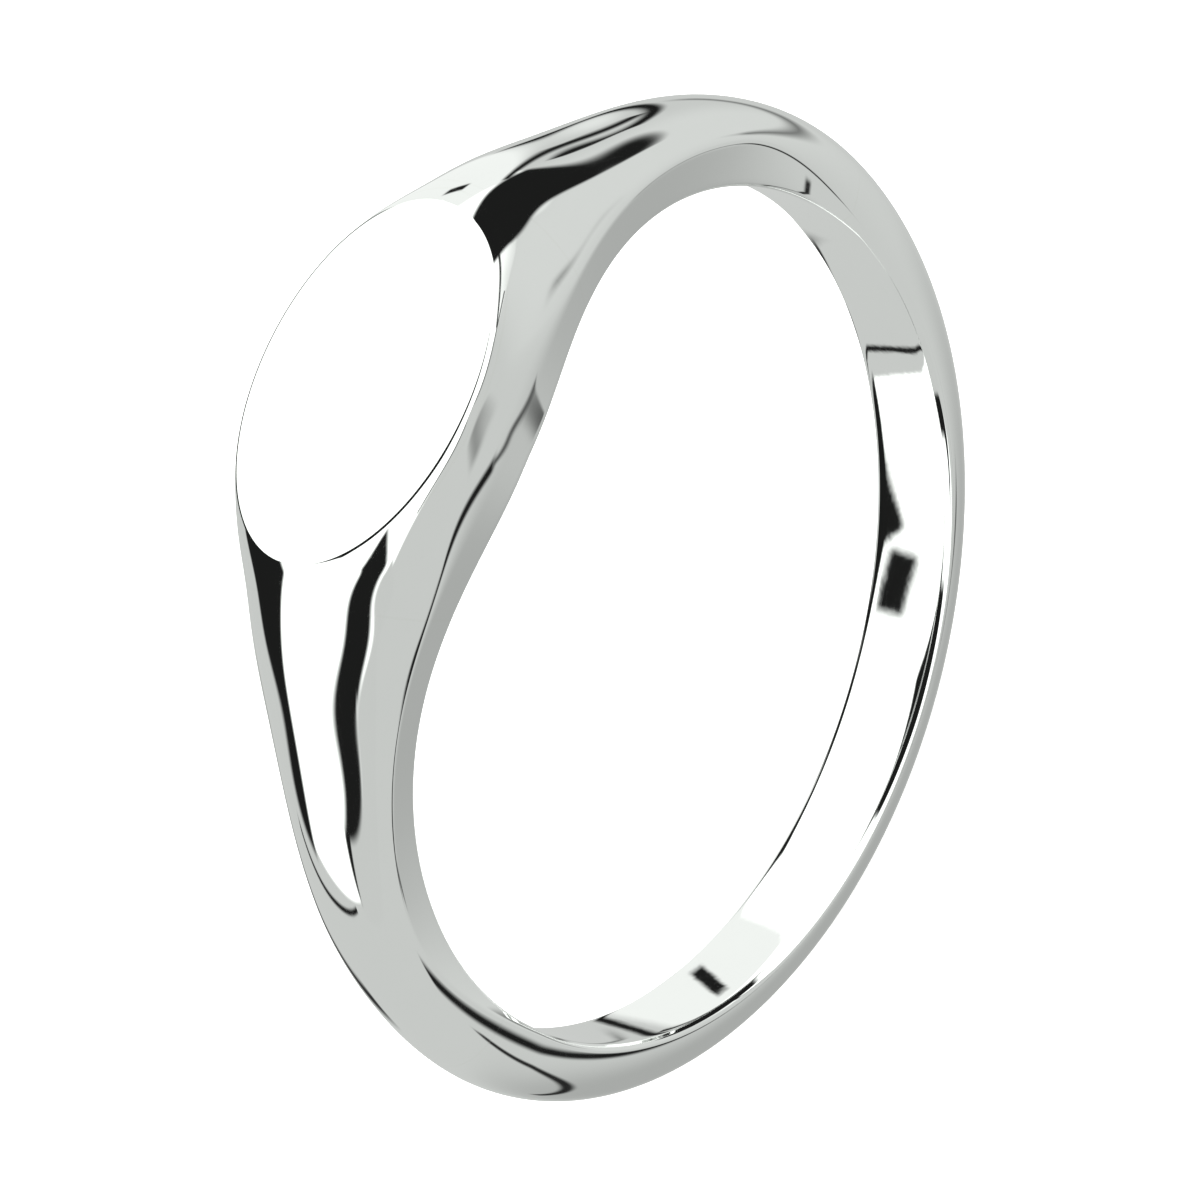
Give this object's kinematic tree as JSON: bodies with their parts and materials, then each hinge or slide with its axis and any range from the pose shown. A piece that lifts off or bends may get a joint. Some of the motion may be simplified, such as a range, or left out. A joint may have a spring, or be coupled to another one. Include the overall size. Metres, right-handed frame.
{
  "type": "signet ring",
  "caption": "Slim signet ring with a blank flat oval table, ridged tapering shoulders and a narrow D-section band.",
  "frame": {"origin": "centre of the finger bore, midway between its two edges", "axes": "+Z out through the middle of the table, Y along the bore, X along the length of the table"},
  "size_m": [0.0204, 0.0056, 0.0209],
  "materials": {
    "polished_silver": "mirror-polished silver with a bright white plated finish",
    "silver_solder": "hard silver solder, filed and polished flush with the silver"
  },
  "bodies": {
    "root": {"table_plate": "polished_silver", "plate_solder": "silver_solder", "head_block": "polished_silver", "left_head_solder": "silver_solder", "right_head_solder": "silver_solder", "left_shoulder": "polished_silver", "right_shoulder": "polished_silver", "left_shank_solder": "silver_solder", "right_shank_solder": "silver_solder", "shank": "polished_silver"}
  },
  "joints": []
}
